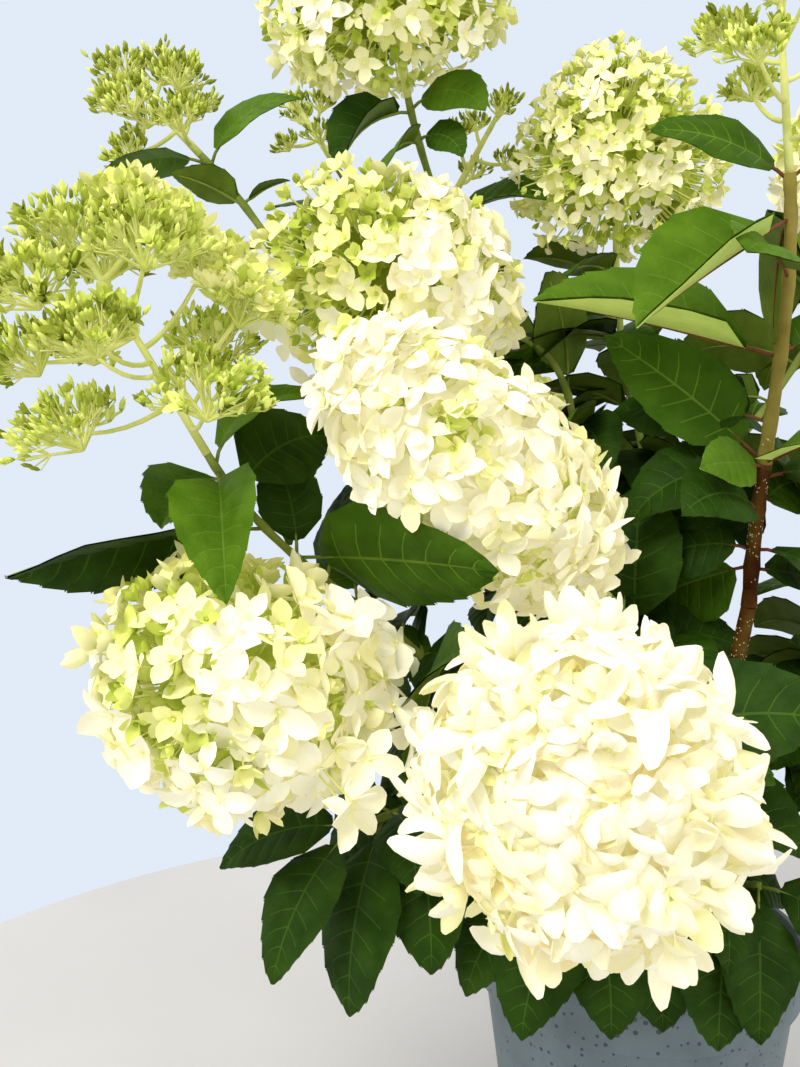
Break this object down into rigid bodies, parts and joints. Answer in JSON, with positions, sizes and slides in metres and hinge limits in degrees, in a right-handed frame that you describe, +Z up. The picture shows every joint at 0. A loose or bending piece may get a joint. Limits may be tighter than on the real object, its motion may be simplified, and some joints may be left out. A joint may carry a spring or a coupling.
{
  "type": "potted hydrangea shrub",
  "caption": "Panicle hydrangea shrub in a round nursery pot, with woody boughs, leafy shoots, open flower heads and heads in bud.",
  "frame": {"origin": "centre of the pot's flat underside", "axes": "+Z up the pot's axis, -Y towards the front, where the largest flower head leans out, +X to the right as seen from the front"},
  "size_m": [0.7993, 0.7457, 1.0423],
  "materials": {
    "pot": "moulded, blue-grey with fine dark flecks",
    "potting_mix": "dark crumbly potting mix",
    "bark": "brown bark with pale specks",
    "leaf": "green leaf, semi-gloss above, pale below",
    "bloom": "creamy white petals",
    "bud": "yellow-green buds"
  },
  "bodies": {
    "root": {"pot": "pot", "potting_mix": "potting_mix", "stool": "bark", "bough_front": "bark", "bough_left": "bark", "bough_middle": "bark", "bough_back_left": "bark", "bough_back": "bark", "bough_back_right": "bark", "bough_right": "bark", "bough_speckled": "bark", "leaves_front_low": "leaf", "leaves_left_low": "leaf", "leaves_left_buds": "leaf", "leaves_middle": "leaf", "leaves_upper": "leaf", "leaves_top": "leaf", "leaves_left_high": "leaf", "leaves_small_left": "leaf", "leaves_right_top": "leaf", "leaves_small_right": "leaf", "leaves_far_right_top": "leaf", "leaves_right_buds": "leaf", "leaves_right_low": "leaf", "leaves_right_side": "leaf", "leaves_back_middle": "leaf", "leaves_back_upper": "leaf", "leaves_back_low": "leaf", "leaves_skirt_front": "leaf", "leaves_skirt_right": "leaf", "leaves_skirt_left": "leaf", "leaves_skirt_far_right": "leaf", "leaves_skirt_back": "leaf", "leaves_skirt_back_right": "leaf", "bloom_front_low": "bloom", "bloom_left_low": "bloom", "buds_left_buds": "bud", "bloom_middle": "bloom", "bloom_upper": "bloom", "bloom_top": "bloom", "buds_left_high": "bud", "buds_small_left": "bud", "bloom_right_top": "bloom", "buds_small_right": "bud", "bloom_far_right_top": "bloom", "buds_right_buds": "bud", "bloom_right_low": "bloom", "bloom_right_side": "bloom", "bloom_back_middle": "bloom", "bloom_back_upper": "bloom", "bloom_back_low": "bloom"}
  },
  "joints": []
}
